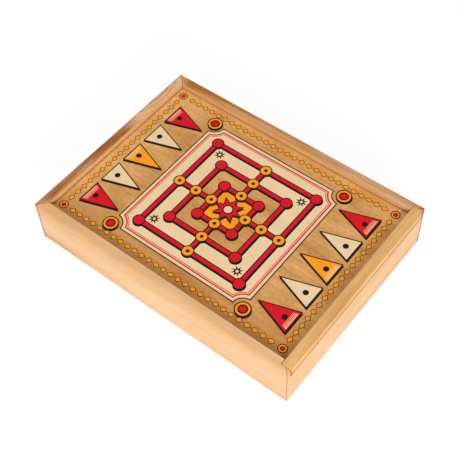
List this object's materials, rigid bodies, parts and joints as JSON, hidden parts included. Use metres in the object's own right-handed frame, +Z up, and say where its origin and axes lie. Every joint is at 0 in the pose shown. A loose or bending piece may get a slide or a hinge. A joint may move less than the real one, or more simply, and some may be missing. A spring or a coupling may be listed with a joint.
{
  "type": "game box",
  "caption": "Shallow wooden game box with mitred walls, a printed lid that slides in grooves, and compartments holding dominoes, playing cards, dice and pick-up sticks.",
  "frame": {"origin": "middle of the underside", "axes": "+X along the length, towards the end that the lid draws out of; +Y to the back; +Z up"},
  "size_m": [0.24, 0.175, 0.041],
  "materials": {
    "pine": "sanded, softened edges, light wax",
    "pine_bar": "sanded, light wax",
    "lid_wood": "sanded board with a warm stain",
    "plywood": "sanded",
    "divider_wood": "sanded",
    "ink_cream": "screen-printed ink",
    "ink_black": "screen-printed ink",
    "ink_red": "screen-printed ink",
    "ink_orange": "screen-printed ink",
    "card_stock": "smooth coated card with a red back",
    "stick_paint_black": "bare wood with black bands",
    "stick_paint_blue": "bare wood with blue bands",
    "stick_paint_green": "bare wood with green bands",
    "stick_paint_red": "bare wood with red bands",
    "stick_paint_yellow": "bare wood with yellow bands",
    "die_wood": "ivory lacquer with black pips",
    "tile_wood": "waxed, with black pips"
  },
  "bodies": {
    "box": {"front_wall": "pine", "back_wall": "pine", "left_wall": "pine", "right_wall": "pine", "bottom_board": "plywood", "stick_divider": "divider_wood", "tile_divider": "divider_wood", "card_divider": "divider_wood", "playing_cards": "card_stock", "stick_black": "stick_paint_black", "sticks_blue": "stick_paint_blue", "sticks_green": "stick_paint_green", "sticks_red": "stick_paint_red", "sticks_yellow": "stick_paint_yellow", "die_1": "die_wood", "die_2": "die_wood", "die_3": "die_wood", "die_4": "die_wood", "die_5": "die_wood", "domino_0_0": "tile_wood", "domino_0_1": "tile_wood", "domino_0_2": "tile_wood", "domino_0_3": "tile_wood", "domino_0_4": "tile_wood", "domino_0_5": "tile_wood", "domino_0_6": "tile_wood", "domino_1_1": "tile_wood", "domino_1_2": "tile_wood", "domino_1_3": "tile_wood", "domino_1_4": "tile_wood", "domino_1_5": "tile_wood", "domino_1_6": "tile_wood", "domino_2_2": "tile_wood", "domino_2_3": "tile_wood", "domino_2_4": "tile_wood", "domino_2_5": "tile_wood", "domino_2_6": "tile_wood", "domino_3_3": "tile_wood", "domino_3_4": "tile_wood", "domino_3_5": "tile_wood", "domino_3_6": "tile_wood", "domino_4_4": "tile_wood", "domino_4_5": "tile_wood", "domino_4_6": "tile_wood", "domino_5_5": "tile_wood", "domino_5_6": "tile_wood", "domino_6_6": "tile_wood"},
    "lid": {"lid_board": "lid_wood", "lid_end_bar": "pine_bar", "lid_print_cream": "ink_cream", "lid_print_black": "ink_black", "lid_print_red": "ink_red", "lid_print_orange": "ink_orange"}
  },
  "joints": [
    {"name": "lid_slide", "type": "slide", "parent": "box", "child": "lid", "axis": [1, 0, 0], "range_m": [0, 0.236]}
  ]
}
